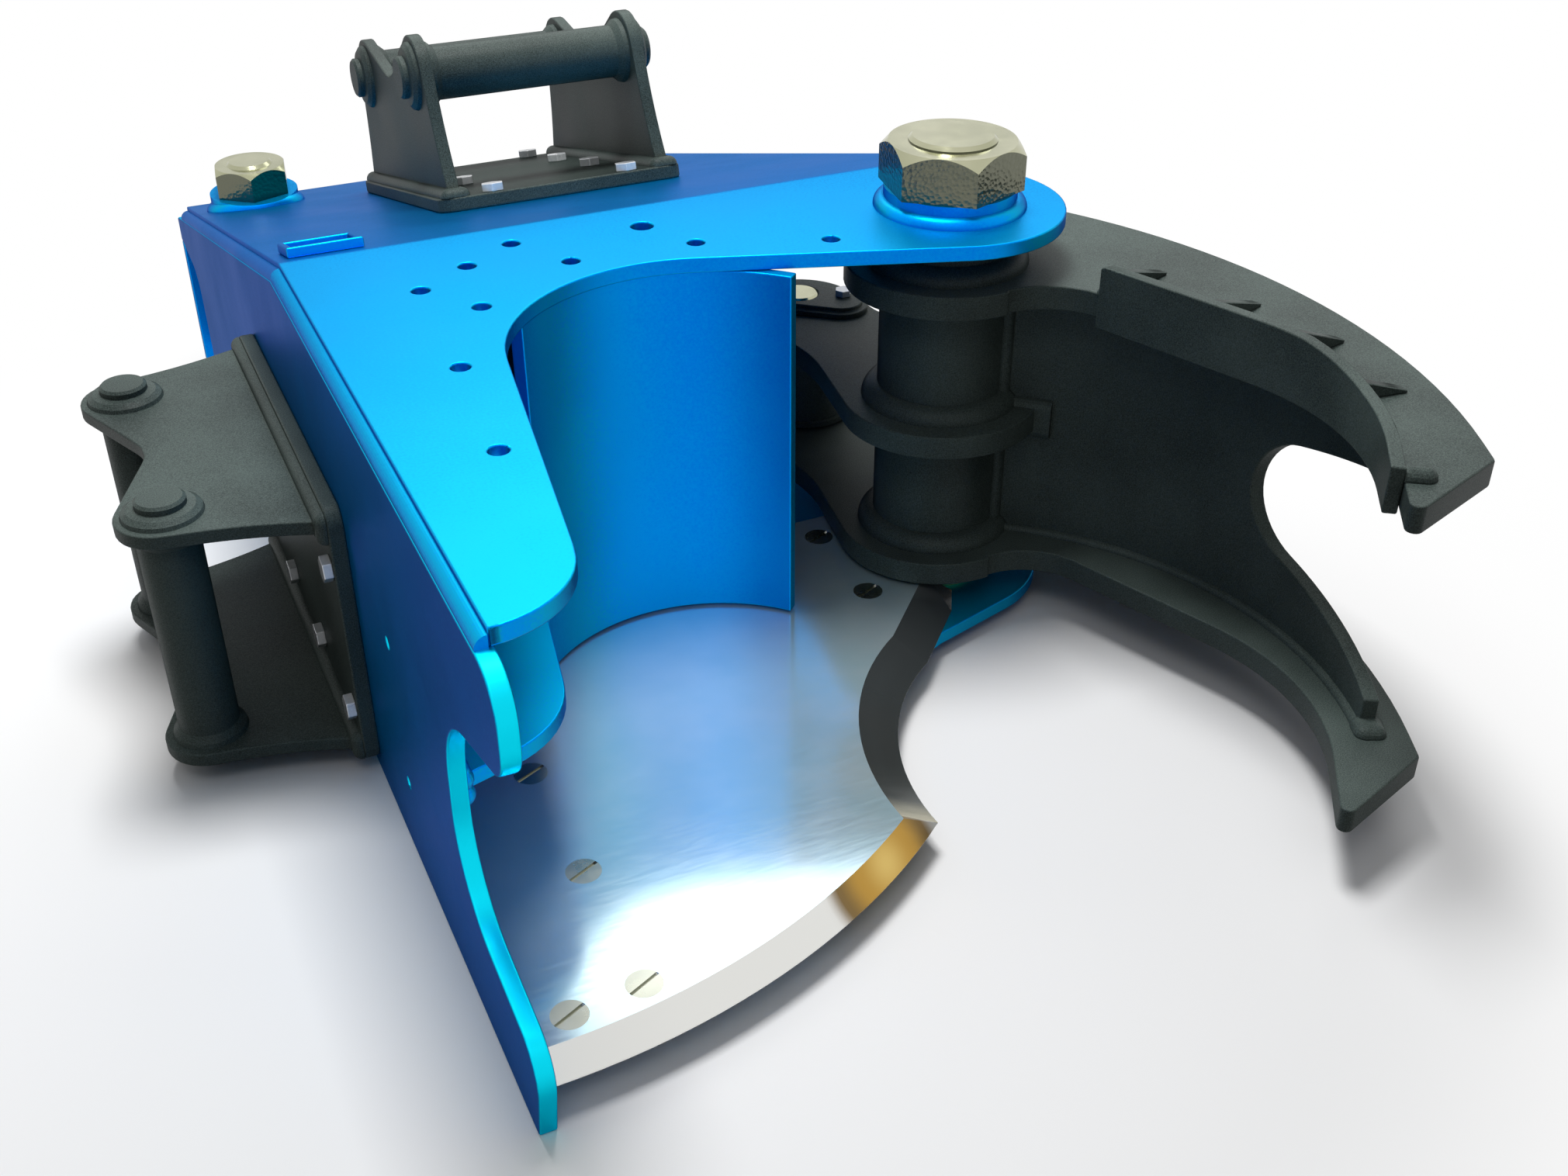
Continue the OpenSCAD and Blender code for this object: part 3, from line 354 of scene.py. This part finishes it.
def make_floor():
    """Floor that shades near the part, with painted shade darkening it towards the front, fades to
    white further out and is dim to other light.
    """
    mesh = bpy.data.meshes.new("floor")
    corners = [(x * FLOOR_HALF, y * FLOOR_HALF, 0) for x, y in ((-1, -1), (1, -1), (1, 1), (-1, 1))]
    mesh.from_pydata(corners, [], [(0, 1, 2, 3)])
    floor = bpy.data.objects.new("floor", mesh)
    bpy.context.scene.collection.objects.link(floor)
    mat, g = new_material("floor")
    place = g.add("ShaderNodeTexCoord").outputs["Object"]
    # Painted shade: the floor's colour darkens from 0.99 at the back to 0.76 towards the front.
    depth = part_of(g, place, "Y")
    run = g.add("ShaderNodeMapRange", {"Value": depth, "From Min": -1.0, "From Max": 0.9})
    colour = g.ramp(run.outputs["Result"], [(0.0, 0.76), (1.0, 0.99)], smooth=True)
    lit = g.add("ShaderNodeBsdfDiffuse", {"Color": colour})
    away = g.add("ShaderNodeVectorMath", {0: place, 1: FADE_CENTRE}, operation="DISTANCE")
    ring = g.add("ShaderNodeMapRange", {"Value": away.outputs["Value"], "From Min": 0.55,
                                        "From Max": 1.0})
    fade = g.ramp(ring.outputs["Result"], [(0.0, 0.0), (0.6, 0.9), (1.0, 1.0)], smooth=True)
    white = g.add("ShaderNodeEmission", {"Color": rgba(1.0), "Strength": 1.0})
    bright = g.add("ShaderNodeMixShader", {0: fade, 1: lit.outputs[0], 2: white.outputs[0]})
    dim = g.add("ShaderNodeBsdfDiffuse", {"Color": rgba(0.12)})
    mix = g.add("ShaderNodeMixShader", {0: shown_ray(g), 1: dim.outputs[0], 2: bright.outputs[0]})
    g.add("ShaderNodeOutputMaterial", {"Surface": mix.outputs[0]})
    mesh.materials.append(mat)


def make_world():
    """Studio with dim walls and a bright ceiling, shown on a white backdrop."""
    world = bpy.data.worlds.new("studio")
    bpy.context.scene.world = world
    world.use_nodes = True
    g = Graph(world.node_tree)
    way = g.add("ShaderNodeTexCoord").outputs["Generated"]
    sky = g.ramp(part_of(g, way, "Z"), [(0.0, 0.04), (0.34, 0.055), (0.74, 0.34), (1.0, 0.44)])
    light = g.add("ShaderNodeBackground", {"Color": sky, "Strength": 1.0})
    white = g.add("ShaderNodeBackground", {"Color": rgba(1.0), "Strength": 1.0})
    mix = g.add("ShaderNodeMixShader", {0: shown_ray(g), 1: light.outputs[0], 2: white.outputs[0]})
    g.add("ShaderNodeOutputWorld", {"Surface": mix.outputs[0]})


def area_light(name, place, target, size, power):
    data = bpy.data.lights.new(name, "AREA")
    data.shape = "RECTANGLE"
    data.size, data.size_y = size
    data.energy = power
    lamp = bpy.data.objects.new(name, data)
    lamp.location = place
    lamp.rotation_euler = (Vector(target) - Vector(place)).to_track_quat("-Z", "Y").to_euler()
    bpy.context.scene.collection.objects.link(lamp)


make_floor()
make_world()
area_light("key", (-0.22, 0.4, 2.8), (-0.2, 0.0, 0.1), (0.9, 0.9), 66.0)
area_light("back_softbox", (0.9, 1.9, 2.1), (-0.2, -0.3, 0.05), (2.4, 1.1), 18.0)
area_light("front_strip", (-1.0, -1.6, 2.4), (-0.3, -0.3, 0.2), (1.2, 0.6), 4.0)


# Camera worked out from the straight edges of the photograph
def make_camera():
    data = bpy.data.cameras.new("camera")
    data.sensor_width = 36.0
    data.lens = 39.38
    data.clip_end = 60.0
    camera = bpy.data.objects.new("camera", data)
    camera.location = (-0.6717, -1.1275, 0.8350)
    camera.rotation_euler = (math.radians(57.055), 0.0, math.radians(-25.05))
    bpy.context.scene.collection.objects.link(camera)
    bpy.context.scene.camera = camera


make_camera()
bpy.context.scene.view_settings.view_transform = "Standard"
